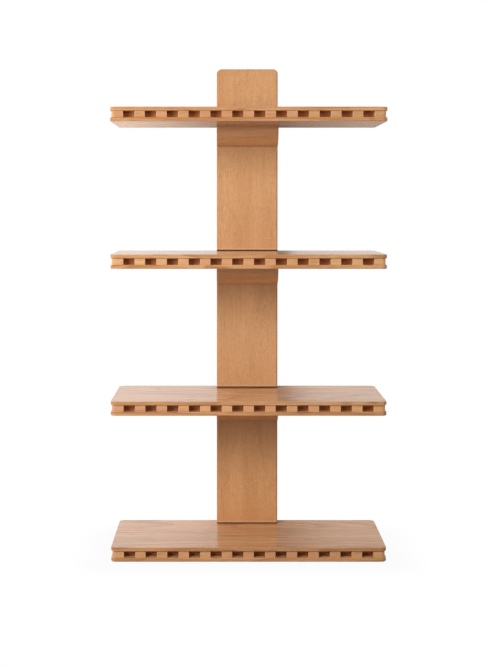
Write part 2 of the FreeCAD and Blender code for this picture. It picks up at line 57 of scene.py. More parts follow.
# %% [markdown]
# ## Nodes
#
# A finish in Blender is a tree of nodes. It can be wired by hand in the shader editor, but this bookshelf needs a
# dozen woods that differ only a little, so a script is quicker. `put` adds any node and fills its inputs by name,
# with a plain value or with another node's output, and `new_finish` starts an empty finish.

# %% Add a node, start a finish
def fill(tree, socket, value):
    """Gives a socket a plain value, or a link where the value is another node's output."""
    if isinstance(value, bpy.types.NodeSocket):
        tree.links.new(value, socket)
    else:
        socket.default_value = value


def put(tree, kind, options=None, **inputs):
    """Adds a node; an input's name is written with _ in place of each space."""
    node = tree.nodes.new("ShaderNode" + kind)
    for option, choice in (options or {}).items():
        setattr(node, option, choice)
    for label, value in inputs.items():
        fill(tree, node.inputs[label.replace("_", " ")], value)
    return node


def new_finish(name):
    """An empty material with an output, ready for its shader."""
    finish = bpy.data.materials.new(name)
    finish.use_nodes = True
    finish.node_tree.nodes.clear()
    output = finish.node_tree.nodes.new("ShaderNodeOutputMaterial")
    return finish, finish.node_tree, output


print("node helpers:", put.__name__, "and", new_finish.__name__)

# %% [markdown]
# ## Sums between nodes
#
# The rest of a finish is arithmetic: how far a point lies from an edge, how dark the grain is there, which colour
# covers which. `sums` and `vector_sums` work on numbers and on places, `span` reads one range of values as another,
# `tint` lays one colour over another, and `blend` does the same with numbers. Each is only a node or two of the kinds
# Math, Vector Math, Map Range and Mix, but as functions they read like a recipe.

# %% Sums, spans and tints
MIX_AMOUNT, MIX_UNDER, MIX_OVER, MIX_RESULT = 0, 6, 7, 2  # the colour sockets of a Mix node, which has other sets too


def sums(tree, operation, *values):
    """A sum of plain numbers or of other nodes' outputs."""
    node = put(tree, "Math", {"operation": operation})
    for socket, value in zip(node.inputs, values):
        fill(tree, socket, value)
    return node.outputs["Value"]


def vector_sums(tree, operation, *values):
    """A sum of places; a LENGTH comes out as a number."""
    node = put(tree, "VectorMath", {"operation": operation})
    for socket, value in zip(node.inputs, values):
        fill(tree, socket, value)
    return node.outputs["Value" if operation == "LENGTH" else "Vector"]


def span(tree, value, low, high, to_low=0.0, to_high=1.0, curve="SMOOTHSTEP"):
    """Reads low to high as to_low to to_high, and stays flat beyond them."""
    options = {"interpolation_type": curve}
    node = put(tree, "MapRange", options, Value=value, From_Min=low, From_Max=high, To_Min=to_low, To_Max=to_high)
    return node.outputs["Result"]


def tint(tree, amount, under, over):
    """Lays one colour over another, by an amount from 0 to 1."""
    node = put(tree, "Mix", {"data_type": "RGBA"})
    fill(tree, node.inputs[MIX_AMOUNT], amount)
    fill(tree, node.inputs[MIX_UNDER], under)
    fill(tree, node.inputs[MIX_OVER], over)
    return node.outputs[MIX_RESULT]


def blend(tree, amount, first, second):
    """A number between two others, by an amount from 0 to 1."""
    return sums(tree, "MULTIPLY_ADD", amount, sums(tree, "SUBTRACT", second, first), first)


print("sum helpers:", ", ".join(helper.__name__ for helper in (sums, vector_sums, span, tint, blend)))

# %% [markdown]
# ## Which way the grain runs
#
# Wood is a bundle of long fibres, so almost everything that the eye reads as grain is a pattern stretched along
# one direction. The recipe below is written for a board whose grain runs along X. A Mapping node turns the
# object's own coordinates first, so that the same recipe serves the shelves, whose grain runs from end to end,
# and the spine, whose grain runs upwards. The pattern fills space like real timber does: a cut across the board
# shows end grain with no further work, which a picture wrapped around the board couldn't do.

# %% Grain direction and stretched noise
LAY_GRAIN_ALONG_X = {
    "x": (0.0, 0.0, 0.0),
    "y": (0.0, 0.0, math.radians(-90)),
    "z": (0.0, math.radians(90), 0.0),
}


def board_place(tree, grain, shift):
    """Object coordinates, as they are, and turned so that the grain lies along X and moved by shift."""
    place = put(tree, "TexCoord").outputs["Object"]
    turned = put(tree, "Mapping", Vector=place, Rotation=LAY_GRAIN_ALONG_X[grain], Location=shift)
    return place, turned.outputs["Vector"]


def streaks(tree, place, along, across, detail=1.0, rough=0.5):
    """Noise that is long in the grain and short across it, counted in streaks to the metre."""
    stretched = vector_sums(tree, "MULTIPLY", place, (along, across, across))
    noise = put(tree, "TexNoise", Vector=stretched, Scale=1.0, Detail=detail, Roughness=rough)
    return noise.outputs["Fac"]


print("grain can run along", ", ".join(LAY_GRAIN_ALONG_X))

# %% [markdown]
# ## The figure of the wood
#
# A tree adds one ring a year: pale wood in spring, then a darker line in late summer. A board cut through the
# rings shows them as long arches and ovals. They are made here as contour lines of a slow, stretched noise, as on
# a map of hills, and a ramp gives each ring its slow darkening and its sudden end. A Wave texture could draw
# rings too, but its lines stay too even to pass for this wood.

# %% Rings that waver
RING_RAMP = ((0.0, 0.0), (0.45, 0.22), (0.82, 0.85), (0.93, 1.0), (1.0, 0.0))  # place in the ring, darkness there
DRIFT = (1.3, 3.0)  # slow waves to the metre, along the grain and across it
MEAN_NOISE = 0.5


def ring_tone(tree, growth, rings):
    """0 in spring wood and 1 in the late line of each ring."""
    counted = sums(tree, "MULTIPLY", growth, rings)
    phase = sums(tree, "FRACT", counted)
    ramp = put(tree, "ValToRGB", Fac=phase)
    stops = ramp.color_ramp.elements
    while len(stops) < len(RING_RAMP):
        stops.new(0.5)  # anywhere will do, because each stop is placed below
    for stop, (position, grey) in zip(stops, RING_RAMP):
        stop.position = position
        stop.color = (grey, grey, grey, 1.0)
    return ramp.outputs["Color"]


def wavering(tree, place, bend):
    """The same place, pushed sideways by a slow noise, so that no line of the grain is ruler-straight."""
    drift = streaks(tree, place, *DRIFT)
    push = sums(tree, "MULTIPLY_ADD", drift, bend, -MEAN_NOISE * bend)
    sideways = put(tree, "CombineXYZ", X=0.0, Y=push, Z=push).outputs["Vector"]
    return vector_sums(tree, "ADD", place, sideways)


print("a ring darkens in", len(RING_RAMP) - 1, "steps")

# %% [markdown]
# ## The tones of a board
#
# Boards of the same wood are never quite alike: one is a little redder, the next a little darker, and some have
# more contrast between their pale and their deep wood. Every board here runs between the same two honey colours. A
# tone multiplies both of them, and a swing spreads them further apart. A new pair of colours for each board would do
# as well, but this way the boards stay a family.

# %% Honey tones
PALE_HONEY = colour(226, 174, 126)
DEEP_HONEY = colour(193, 139, 89)


def board_tones(tone, swing):
    """The pale and the deep honey of one board."""
    pale, deep = [(*(part * share for part, share in zip(base, tone)), 1.0) for base in (PALE_HONEY, DEEP_HONEY)]
    swings = [swing * (dark - light) for light, dark in zip(pale, deep)]
    pale = tuple(light - part for light, part in zip(pale, swings))
    deep = tuple(dark + part for dark, part in zip(deep, swings))
    return pale, deep


print("the wood runs from", [round(v, 2) for v in PALE_HONEY[:3]], "to", [round(v, 2) for v in DEEP_HONEY[:3]])

# %% [markdown]
# ## The layers of the grain
#
# Seen closely, the grain is a stack of patterns of different size. Rings give the broad figure, slow clouds and thin
# lines break it up, and very fine fibres run through all of it. Together they say how dark a point is. Rosy
# patches, brown late lines and flecks and the dark dashes of the pores are then laid over that. One single noise with
# a lot of detail would be simpler, but it looks like cloud, not like wood.

# %% Darkness of the grain
# Streaks to the metre, along the grain and across it, and then the detail and the roughness of the noise.
GROWTH = (0.9, 7.0, 0.6)
CLOUDS = (1.4, 18.0, 2.0)
THIN_LINES = (4.0, 75.0, 2.5, 0.7)
FIBRE_DETAIL = (3.0, 0.6)
PALEST, DEEPEST = -0.3, 0.7


def layer(tree, noise, amount, under):
    """Adds a noise to the darkness under it, so that it darkens as much as it lightens."""
    return sums(tree, "MULTIPLY_ADD", sums(tree, "SUBTRACT", noise, MEAN_NOISE), amount, under)


def grain_darkness(tree, board, grown, kind):
    """The rings, the fibres, and how dark a point is from 0 to 1."""
    ring = ring_tone(tree, streaks(tree, grown, *GROWTH), kind["rings"])
    fibre = streaks(tree, grown, *kind["fibres"], *FIBRE_DETAIL)
    dark = sums(tree, "MULTIPLY", ring, kind["figure"])
    dark = layer(tree, fibre, kind["fine"], dark)
    dark = layer(tree, streaks(tree, board, *CLOUDS), kind["cloud"], dark)
    dark = layer(tree, streaks(tree, grown, *THIN_LINES), kind["lines"], dark)
    darkness = span(tree, dark, PALEST - kind["swing"], DEEPEST + kind["swing"], 0.0, 1.0, "LINEAR")
    return ring, fibre, darkness


print("lines to the metre across the grain:", THIN_LINES[1])

# %% Colours over the grain
ROSY_HONEY = colour(219, 157, 114)
FLECK_BROWN = colour(160, 97, 62)
PORE_BROWN = colour(150, 97, 62)
BLUSH, BLUSH_EDGE = (3.0, 11.0, 1.0), (0.4, 0.62)
FLECKS, FLECK_EDGE = (10.0, 105.0, 1.0), (0.63, 0.71)
PORES, PORE_EDGE = (36.0, 1350.0, 0.0), (0.60, 0.72)
PORE_AMOUNT = 0.4
LATE_POWER = 4.0


def over_grain(tree, board, grown, ring, pore, body, kind):
    """Lays rosy patches, late lines, flecks and pores over the body colour."""
    rosiness = span(tree, streaks(tree, board, *BLUSH), *BLUSH_EDGE, 0.0, kind["rosy"])
    body = tint(tree, rosiness, body, ROSY_HONEY)
    late_line = sums(tree, "MULTIPLY", sums(tree, "POWER", ring, LATE_POWER), kind["late"])
    body = tint(tree, late_line, body, FLECK_BROWN)
    fleck = span(tree, streaks(tree, grown, *FLECKS), *FLECK_EDGE)
    body = tint(tree, sums(tree, "MULTIPLY", fleck, kind["flecks"]), body, FLECK_BROWN)
    return tint(tree, sums(tree, "MULTIPLY", pore, PORE_AMOUNT), body, PORE_BROWN)


print("pores to the metre across the grain:", PORES[1])

# %% [markdown]
# ## The lacquered wood
#
# A satin lacquer lies over the grain. It is the shader's own gloss, which makes the shelf tops go pale where they are
# seen at a low angle. A separate coat layer could stand for it, but one layer is enough for a thin film. The open
# pores dull it a little, and a shallow bump lets the fibres break up the shine. A recipe named `wood` puts
# everything together: it starts from a plain board and changes what a kind of board has of its own.

# %% The recipe for a wood finish
PLAIN_BOARD = {
    "rings": 6.0,  # how many rings the slow noise is cut into
    "figure": 0.4,  # how dark the rings are
    "cloud": 0.8,  # how strong the slow clouds are
    "lines": 0.5,  # how strong the thin lines are
    "fibres": (20.0, 620.0),  # fibres to the metre, along the grain and across it
    "fine": 0.9,  # how strong the fibres are
    "waver": 0.025,  # how far a line of the grain wanders, in metres
    "late": 0.1,  # how brown the late line of a ring is
    "rosy": 0.35,  # how rosy the patches are
    "flecks": 0.4,  # how brown the flecks are
    "swing": 0.0,  # how much further apart the pale and the deep tone are
    "relief": 0.25,  # how strong the bump is
    "satin": 0.22,  # how rough the lacquer is before fibres and pores dull it
    "haze": 0.0,  # how much of a bloom the lacquer has at a low angle
}
PORE_DULLING, FIBRE_DULLING = 0.12, 0.10
FIBRE_HEIGHT = 0.0002
PORE_DEPTH = -0.7  # as a share of the fibre's height
LACQUER_IOR, HAZE_ROUGHNESS = 1.5, 0.3


def wood(name, grain, shift, touch=None, tone=(1, 1, 1), **changes):
    """A wood finish; shift picks a part of the tree, and touch adds what a piece has at its edges."""
    kind = {**PLAIN_BOARD, **changes}
    finish, tree, output = new_finish(name)
    place, board = board_place(tree, grain, shift)
    grown = wavering(tree, board, kind["waver"])
    ring, fibre, darkness = grain_darkness(tree, board, grown, kind)
    pore = span(tree, streaks(tree, grown, *PORES), *PORE_EDGE)
    body = tint(tree, darkness, *board_tones(tone, kind["swing"]))
    body = over_grain(tree, board, grown, ring, pore, body, kind)
    body, dull = touch(tree, place, body) if touch else (body, 0.0)

    dulled = sums(tree, "MULTIPLY_ADD", pore, PORE_DULLING, sums(tree, "ADD", dull, kind["satin"]))
    roughness = sums(tree, "MULTIPLY_ADD", fibre, FIBRE_DULLING, dulled)
    raised = sums(tree, "MULTIPLY_ADD", pore, PORE_DEPTH, fibre)
    bump = put(tree, "Bump", Strength=kind["relief"], Distance=FIBRE_HEIGHT, Height=raised)
    shader = put(
        tree, "BsdfPrincipled", Base_Color=body, Roughness=roughness, IOR=LACQUER_IOR, Normal=bump.outputs["Normal"],
        Sheen_Weight=kind["haze"], Sheen_Roughness=HAZE_ROUGHNESS,
    )
    tree.links.new(shader.outputs["BSDF"], output.inputs["Surface"])
    return finish


print("a plain board is described by", len(PLAIN_BOARD), "values")

# %% [markdown]
# ## Eased edges
#
# The edges of the shelf panels and of the spine are rounded over, and the lacquer lies a little thicker there. They
# read as a thin line of deeper orange, clear on the spine and faint on the shelves. The line could be painted on an
# image for each piece. Here the shader measures the distance to a box with rounded corners, from the piece's own
# coordinates, so the line stays in place from every side and needs no image.

# %% A deeper line along the rounded edges
RIM_ORANGE = colour(196, 128, 74)
CORNER = 0.016
FAR = 10.0  # half a side that no piece reaches, for a direction that has no rim


def past_box(tree, place, half):
    """How far a place lies outside a box around the origin."""
    folded = vector_sums(tree, "ABSOLUTE", place)
    past = vector_sums(tree, "SUBTRACT", folded, half)
    outside = vector_sums(tree, "MAXIMUM", past, (0.0, 0.0, 0.0))
    return vector_sums(tree, "LENGTH", outside)


def rim_of(half, reach, amount, dulling):
    """A deeper and duller tone close to the outline of a box that has rounded corners."""
    straight = tuple(side - CORNER for side in half)

    def touch(tree, place, body):
        near = span(tree, past_box(tree, place, straight), CORNER - reach, CORNER)
        deeper = sums(tree, "MULTIPLY", near, amount)
        return tint(tree, deeper, body, RIM_ORANGE), sums(tree, "MULTIPLY", near, dulling)

    return touch


shelf_half = (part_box("base_shelf_top_panel")[1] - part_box("base_shelf_top_panel")[0]) / 2
shelf_rim = rim_of((shelf_half.x, shelf_half.y, FAR), reach=0.003, amount=0.2, dulling=0.25)
stub_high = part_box("stub_front_panel")[1]
spine_rim = rim_of((stub_high.x, FAR, stub_high.z), reach=0.006, amount=0.6, dulling=0.15)
print("a shelf is", round(2000 * shelf_half.x), "mm wide and the spine", round(2000 * stub_high.x))

# %% [markdown]
# ## Joints
#
# Each length of spine stands on a shelf. Its foot is eased, and the finish paints on the highlight that the eased edge
# catches as a thin pale line. Below it, the shadow in the joint is painted on as a dark line. Both are too fine to be
# worth a mesh, so they are tones in the finish. The lengths are equal, so wrapping the height at every bay finds all
# the feet at once.

# %% A painted highlight on the foot and a painted shadow in the joint
# Painted highlight and painted shadow: a pale line where an eased foot catches the light, and a dark line for the
# shade in the joint.
PAINTED_HIGHLIGHT_PALE = colour(232, 183, 138)
JOINT_SHADOW_BROWN = colour(70, 38, 22)
FOOT_HIGHLIGHT_FROM, FOOT_HIGHLIGHT_TO, FOOT_HIGHLIGHT_AMOUNT = (0.005, 0.007), (0.008, 0.011), 0.6
JOINT_SHADOW_FADE, JOINT_SHADOW_AMOUNT = (0.003, 0.006), 0.85
foot_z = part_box("lower_spine_front_panel")[0].z
bay_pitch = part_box("middle_spine_front_panel")[0].z - foot_z


def spine_rim_and_painted_foot(tree, place, body):
    """The rim of the spine, with a painted highlight line and a painted shadow line at the foot of each length."""
    body, dull = spine_rim(tree, place, body)
    height = sums(tree, "WRAP", put(tree, "SeparateXYZ", Vector=place).outputs["Z"], foot_z + bay_pitch, foot_z)
    above = sums(tree, "SUBTRACT", height, foot_z)
    # Painted highlight a few millimetres above each foot, and painted shadow right at the joint.
    starts, ends = span(tree, above, *FOOT_HIGHLIGHT_FROM), span(tree, above, *FOOT_HIGHLIGHT_TO, FOOT_HIGHLIGHT_AMOUNT, 0.0)
    joint_shadow = span(tree, above, *JOINT_SHADOW_FADE, JOINT_SHADOW_AMOUNT, 0.0)
    body = tint(tree, sums(tree, "MULTIPLY", starts, ends), body, PAINTED_HIGHLIGHT_PALE)
    return tint(tree, joint_shadow, body, JOINT_SHADOW_BROWN), sums(tree, "ADD", dull, joint_shadow)


print("a new foot every", round(1000 * bay_pitch), "mm")

# %% [markdown]
# ## Notches
#
# The twelve notches of a front rail are sawn out. Inside them the finish paints shade: a brown that deepens towards
# the back of each notch. The upright edges of the teeth between them get a painted highlight, a pale line where a
# rounded edge catches the light. The faces of a notch could have a finish of their own, but the painted shade comes on
# slowly with depth. Both are therefore read from the piece's own coordinates: how deep a point lies behind the rail's
# front, and how far it lies from the middle of its tooth, counted off by wrapping X at every notch.

# %% Painted shade in the notches and painted highlights on the tooth edges
# Painted shade: the brown that darkens a notch towards its back.
NOTCH_SHADE_BROWN = colour(184, 118, 68)
NOTCHES, NOTCH_WIDTH, NOTCH_DEPTH = 12, 0.0347, 0.024
FIRST_NOTCH = 0.0362  # from the end of the rail
# Painted highlight: the width and strength of the pale line on each upright tooth edge.
TOOTH_HIGHLIGHT_WIDTH, TOOTH_HIGHLIGHT_AMOUNT = 0.004, 0.55
# Where the painted shade starts behind the front, how dark it gets, and how much rougher the rail is.
NOTCH_SHADE_START, NOTCH_SHADE_AMOUNT, SAWN_DULLING = 0.001, 0.9, 0.2
rail_low, rail_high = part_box("base_shelf_dentil_rail")
first_notch_x = rail_low.x + FIRST_NOTCH
notch_pitch = (rail_high.x - FIRST_NOTCH - NOTCH_WIDTH - first_notch_x) / (NOTCHES - 1)
tooth_width = notch_pitch - NOTCH_WIDTH
tooth_middle = first_notch_x + NOTCH_WIDTH + tooth_width / 2


def notched(tree, place, body):
    """A painted highlight on the upright edges of the teeth, and a painted shade that deepens with the depth of a
    notch.
    """
    spot = put(tree, "SeparateXYZ", Vector=place).outputs
    tooth_x = sums(tree, "WRAP", spot["X"], first_notch_x + notch_pitch, first_notch_x)
    aside = sums(tree, "ABSOLUTE", sums(tree, "SUBTRACT", tooth_x, tooth_middle))
    # Painted highlight on each upright edge of a tooth.
    tooth_highlight = span(tree, aside, tooth_width / 2 - TOOTH_HIGHLIGHT_WIDTH, tooth_width / 2, 0.0, TOOTH_HIGHLIGHT_AMOUNT)
    body = tint(tree, tooth_highlight, body, PAINTED_HIGHLIGHT_PALE)
    # Painted shade that deepens from the rail's front to the back of a notch.
    front, back = rail_low.y + NOTCH_SHADE_START, rail_low.y + NOTCH_DEPTH
    notch_shade = span(tree, spot["Y"], front, back, 0.0, NOTCH_SHADE_AMOUNT, "LINEAR")
    return tint(tree, notch_shade, body, NOTCH_SHADE_BROWN), SAWN_DULLING


print("teeth are", round(1000 * tooth_width, 1), "mm wide, notches", 1000 * NOTCH_WIDTH)

# %% [markdown]
# ## Shelf boards
#
# The shelf panels are the widest boards and show the most figure: many rings, thin lines and a few brown flecks. They
# also carry the smoothest lacquer, with a faint haze where they are seen at a low angle. One recipe serves all of
# them. Because the pattern fills space, panels at different heights never repeat each other. The base's top is a
# darker copy, painted shade for the lowest shelf.

# %% Finishes for the shelves
def shelf_wood(name, tone):
    """Wide boards with a strong figure along the shelf."""
    return wood(
        name, "x", (0.35, 0.06, 0.0), rings=12.0, figure=0.6, cloud=1.3, lines=3.3, fine=1.2, late=0.3, flecks=0.7,
        relief=0.06, satin=0.15, haze=0.055, touch=shelf_rim, tone=tone,
    )


shelf_panel_wood = shelf_wood("shelf_panel_wood", (1.02, 1.03, 1.0))
# A darker copy of the shelf wood: painted shade on the base's top.
base_top_shaded_wood = shelf_wood("base_top_shaded_wood", (0.875, 0.885, 0.885))
print("shelf finishes:", shelf_panel_wood.name, base_top_shaded_wood.name)

# %% [markdown]
# ## Spine and brackets
#
# The spine is straight-grained: hardly any rings, but short fibres with a lot of contrast. Its lowest length has a
# yellower tone, which paints on the warm shade of the lowest bay. The brackets under the shelves are plain too, with
# their grain across the spine. They could share the spine's finish with the grain turned, but their fibres are longer
# and softer.

# %% Finishes for the spine and the brackets
def spine_wood(name, tone):
    """Straight-grained boards with short fibres that run upwards."""
    return wood(
        name, "z", (0.2, 0.9, 0.4), rings=5.0, figure=0.12, cloud=0.8, lines=0.4, fibres=(170.0, 900.0), fine=3.3,
        waver=0.006, swing=0.5, late=0.0, rosy=0.15, flecks=0.1, touch=spine_rim_and_painted_foot, tone=tone,
    )


spine_panel_wood = spine_wood("spine_panel_wood", (0.99, 1.0, 1.01))
# The yellower tone is painted warm shade for the lowest bay.
lower_spine_shaded_wood = spine_wood("lower_spine_shaded_wood", (1.0, 0.94, 0.83))
bracket_wood = wood(
    "bracket_wood", "x", (1.4, 0.3, 0.7), rings=5.0, figure=0.15, cloud=0.5, lines=1.2, fine=1.4, waver=0.006,
    rosy=0.2, flecks=0.1, tone=(1.09, 1.01, 0.95),
)
print("spine finishes:", spine_panel_wood.name, lower_spine_shaded_wood.name, bracket_wood.name)

# %% [markdown]
# ## Rails and inner boards
#
# Each front rail is a board of its own, so each has its own part of the tree and its own tone. The blocks, rails,
# ribs and stiles inside are plain boards that differ only in the way their grain runs. One finish for all of them
# would do for a picture, but the rails show side by side, and a reader who takes the bookshelf apart sees the rest.

# %% Finishes for the rails and the inner boards
RAIL_BOARDS = {  # the part of the tree, and the tone
    "base": ((2.1, 0.8, 0.2), (1.14, 1.09, 1.07)),
    "lower": ((2.5, 0.6, 0.2), (1.15, 1.14, 1.10)),
    "upper": ((2.9, 0.8, 0.5), (1.13, 1.16, 1.15)),
    "top": ((3.3, 0.3, 0.2), (0.96, 0.95, 0.94)),
}
rail_woods = {}
for shelf, (shift, tone) in RAIL_BOARDS.items():
    rail_woods[shelf] = wood(
        f"{shelf}_rail_wood", "x", shift, figure=0.35, cloud=0.6, lines=1.2, rosy=0.6, flecks=0.3,
        touch=notched, tone=tone,
    )
core_wood_x = wood("core_wood_x", "x", (3.3, 0.5, 0.9))
core_wood_y = wood("core_wood_y", "y", (3.9, 0.2, 0.3))
core_wood_z = wood("core_wood_z", "z", (4.6, 0.7, 0.6), figure=0.2, flecks=0.2, touch=spine_rim_and_painted_foot)
print("rails with a board of their own:", ", ".join(rail_woods))

# %% [markdown]
# ## Dowels
#
# The dowels are turned from a paler, plainer wood with tiny dark dashes. They are hidden once the bookshelf
# stands, but a reader who takes the part apart will see them. The recipe for the boards would give them rings that
# such thin sticks don't show, so they get a short recipe of their own.

# %% Dowel wood
DOWEL_PALE = colour(226, 190, 150)
DOWEL_DEEP = colour(206, 164, 122)
DOWEL_DASH = colour(176, 128, 92)
DOWEL_SHIFT = (5.0, 0.4, 0.1)
DOWEL_FIBRES = (14.0, 700.0, 2.0)
DASHES, DASH_EDGE, DASH_AMOUNT = (180.0, 1500.0, 0.0), (0.6, 0.7), 0.6


def dowel_wood(name, grain):
    """A plain, matt wood for turned sticks."""
    finish, tree, output = new_finish(name)
    board = board_place(tree, grain, DOWEL_SHIFT)[1]
    fibre = streaks(tree, board, *DOWEL_FIBRES)
    dash = span(tree, streaks(tree, board, *DASHES), *DASH_EDGE, 0.0, DASH_AMOUNT)
    body = tint(tree, dash, tint(tree, fibre, DOWEL_PALE, DOWEL_DEEP), DOWEL_DASH)
    bump = put(tree, "Bump", Strength=0.3, Distance=FIBRE_HEIGHT, Height=fibre)
    roughness = span(tree, fibre, low=0.3, high=0.7, to_low=0.5, to_high=0.65)
    shader = put(tree, "BsdfPrincipled", Base_Color=body, Roughness=roughness, Normal=bump.outputs["Normal"])
    tree.links.new(shader.outputs["BSDF"], output.inputs["Surface"])
    return finish


upright_dowel_wood = dowel_wood("upright_dowel_wood", "z")
level_dowel_wood = dowel_wood("level_dowel_wood", "y")
print("dowel finishes:", upright_dowel_wood.name, level_dowel_wood.name)

# %% [markdown]
# ## Metal fittings
#
# The tie rods, washers, nuts and screws are zinc-plated steel, which is grey with cloudy patches and fine scratches.
# The threaded inserts are brass. A plain metal shader would look like a mirror, so noise lets its colour and its
# roughness wander a little, and a shallow bump adds the scratches.

# %% Steel and brass
FITTING_CLOUDS = 160.0  # to the metre
CLOUD_EDGE = (0.35, 0.65)
SCRATCHES = (2400.0, 300.0, 2.0)
FITTING_BUMP = 0.0001


def metal(name, bright, dull, smooth, rough):
    """A cloudy, finely scratched metal that runs from bright and smooth to dull and rough."""
    finish, tree, output = new_finish(name)
    place = put(tree, "TexCoord").outputs["Object"]
    cloud = put(tree, "TexNoise", Vector=place, Scale=FITTING_CLOUDS, Detail=3.0, Roughness=0.6).outputs["Fac"]
    scratch = streaks(tree, place, *SCRATCHES)
    body = tint(tree, span(tree, cloud, *CLOUD_EDGE), bright, dull)
    roughness = span(tree, cloud, low=0.3, high=0.7, to_low=smooth, to_high=rough)
    bump = put(tree, "Bump", Strength=0.15, Distance=FITTING_BUMP, Height=scratch)
    shader = put(
        tree, "BsdfPrincipled", Base_Color=body, Metallic=1.0, Roughness=roughness, Normal=bump.outputs["Normal"]
    )
    tree.links.new(shader.outputs["BSDF"], output.inputs["Surface"])
    return finish


zinc_steel = metal("zinc_steel", colour(196, 199, 201), colour(160, 164, 168), smooth=0.28, rough=0.45)
insert_brass = metal("insert_brass", colour(214, 178, 104), colour(172, 134, 70), smooth=0.25, rough=0.42)
print("metal finishes:", zinc_steel.name, insert_brass.name)

# %% [markdown]
# ## Floor glides
#
# The glides under the base are moulded from pale nylon, with the faint pebble that a mould leaves. The pebble could
# be modelled, but it is far finer than a millimetre, so a bump does it.

# %% Nylon
NYLON_PALE = colour(206, 200, 188)
NYLON_DEEP = colour(192, 185, 172)
NYLON_PEBBLES, NYLON_CLOUDS = 1400.0, 90.0  # to the metre

glide_nylon, tree, output = new_finish("glide_nylon")
place = put(tree, "TexCoord").outputs["Object"]
pebble = put(tree, "TexNoise", Vector=place, Scale=NYLON_PEBBLES, Detail=1.0).outputs["Fac"]
cloud = put(tree, "TexNoise", Vector=place, Scale=NYLON_CLOUDS, Detail=2.0).outputs["Fac"]
body = tint(tree, span(tree, cloud, *CLOUD_EDGE), NYLON_PALE, NYLON_DEEP)
bump = put(tree, "Bump", Strength=0.2, Distance=FITTING_BUMP, Height=pebble)
roughness = span(tree, pebble, low=0.3, high=0.7, to_low=0.42, to_high=0.55)
shader = put(tree, "BsdfPrincipled", Base_Color=body, Roughness=roughness, Normal=bump.outputs["Normal"])
tree.links.new(shader.outputs["BSDF"], output.inputs["Surface"])
print("finishes so far:", len(bpy.data.materials))

# %% [markdown]
# ## Finishes onto pieces
#
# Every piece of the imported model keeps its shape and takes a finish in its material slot. They could be dressed one
# by one, but the ending of a piece's name says what it is, so a short list of endings dresses the whole bookshelf.
# The first ending that fits wins, and what fits none is steel.

# %% Give every piece its finish
FINISH_BY_ENDING = (
    ("base_shelf_top_panel", base_top_shaded_wood),
    ("shelf_top_panel", shelf_panel_wood),
    ("shelf_bottom_panel", shelf_panel_wood),
    ("lower_spine_front_panel", lower_spine_shaded_wood),
    ("lower_spine_back_panel", lower_spine_shaded_wood),
    ("front_panel", spine_panel_wood),
    ("back_panel", spine_panel_wood),
    ("bracket", bracket_wood),
    *((f"{shelf}_shelf_dentil_rail", finish) for shelf, finish in rail_woods.items()),
    ("spine_block", core_wood_x),
    ("rear_rails", core_wood_x),
    ("end_rails", core_wood_y),
    ("ribs", core_wood_y),
    ("stiles", core_wood_z),
    ("centre_stile", core_wood_z),
    ("stub_core", core_wood_z),
    ("side_dowels", level_dowel_wood),
    ("dowels", upright_dowel_wood),
    ("wall_inserts", insert_brass),
    ("floor_glides", glide_nylon),
)
for name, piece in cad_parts.items():
    chosen = [finish for ending, finish in FINISH_BY_ENDING if name.endswith(ending)]
    piece.material_slots[0].material = chosen[0] if chosen else zinc_steel
    print(name, "is finished in", piece.material_slots[0].material.name)

# %% [markdown]
# ## Floor
#
# The bookshelf stands on a plain white studio floor. A floor that is white to all light would throw too much of it up
# under the shelves, and a shadow catcher would need a second picture. So Light Path tells two uses apart: to the
# light that bounces around, the floor is a matt grey, and to the camera it is mostly an even white. It melts into the
# background and keeps only a faint shadow around the base.

# %% The floor's sheet
FLOOR_REACH = 8.0

floor_mesh = bpy.data.meshes.new("studio_floor")
sheet = bmesh.new()
bmesh.ops.create_grid(sheet, x_segments=1, y_segments=1, size=FLOOR_REACH)
sheet.to_mesh(floor_mesh)
sheet.free()
floor = bpy.data.objects.new("studio_floor", floor_mesh)
bpy.context.scene.collection.objects.link(floor)
print("floor is", floor.dimensions.x, "m square")

# %% A white that keeps a faint shadow
FLOOR_GREY = (0.34, 0.34, 0.34, 1.0)
MIRRORED_WHITE = 0.15  # how much of the even white the lacquer mirrors
SHADOW_REACH, WHITE_AT_BASE = 0.16, 0.95
UNDER_ONE_BOUNCE = 0.5

floor_white, tree, output = new_finish("floor_white")
path = put(tree, "LightPath").outputs
seen = sums(tree, "MAXIMUM", path["Is Camera Ray"], path["Is Transmission Ray"])
mirrored = sums(tree, "MULTIPLY", path["Is Glossy Ray"], MIRRORED_WHITE)
seen = sums(tree, "MAXIMUM", seen, mirrored)
place = put(tree, "TexCoord").outputs["Object"]
from_base = past_box(tree, place, (shelf_half.x, shelf_half.y, FAR))
plain = span(tree, from_base, 0.0, SHADOW_REACH, WHITE_AT_BASE, 1.0)
first_hand = sums(tree, "LESS_THAN", path["Diffuse Depth"], UNDER_ONE_BOUNCE)
share = sums(tree, "MULTIPLY", sums(tree, "MULTIPLY", seen, first_hand), plain)
matt = put(tree, "BsdfDiffuse", Color=FLOOR_GREY)
white = put(tree, "Emission", Strength=1.0)
mixed = put(tree, "MixShader", Fac=share)
tree.links.new(matt.outputs["BSDF"], mixed.inputs[1])
tree.links.new(white.outputs["Emission"], mixed.inputs[2])
tree.links.new(mixed.outputs["Shader"], output.inputs["Surface"])
floor_mesh.materials.append(floor_white)
print("the shadow reaches", SHADOW_REACH, "m around the base")

# %% [markdown]
# ## Lamps
#
# Two large soft lamps stand in front: a strong one on the left and a weaker, higher one on the right. They are near
# enough that the lower shelves are dimmer than the top one, and large enough that a shelf's shadow on the spine fades
# slowly. A Sun lamp would light every shelf the same. The camera and the lacquer don't see the lamps themselves,
# because a lamp mirrored in a shelf would be a hard white patch.

# %% Two lamps
AIM = (0.0, 0.0, 1.1)


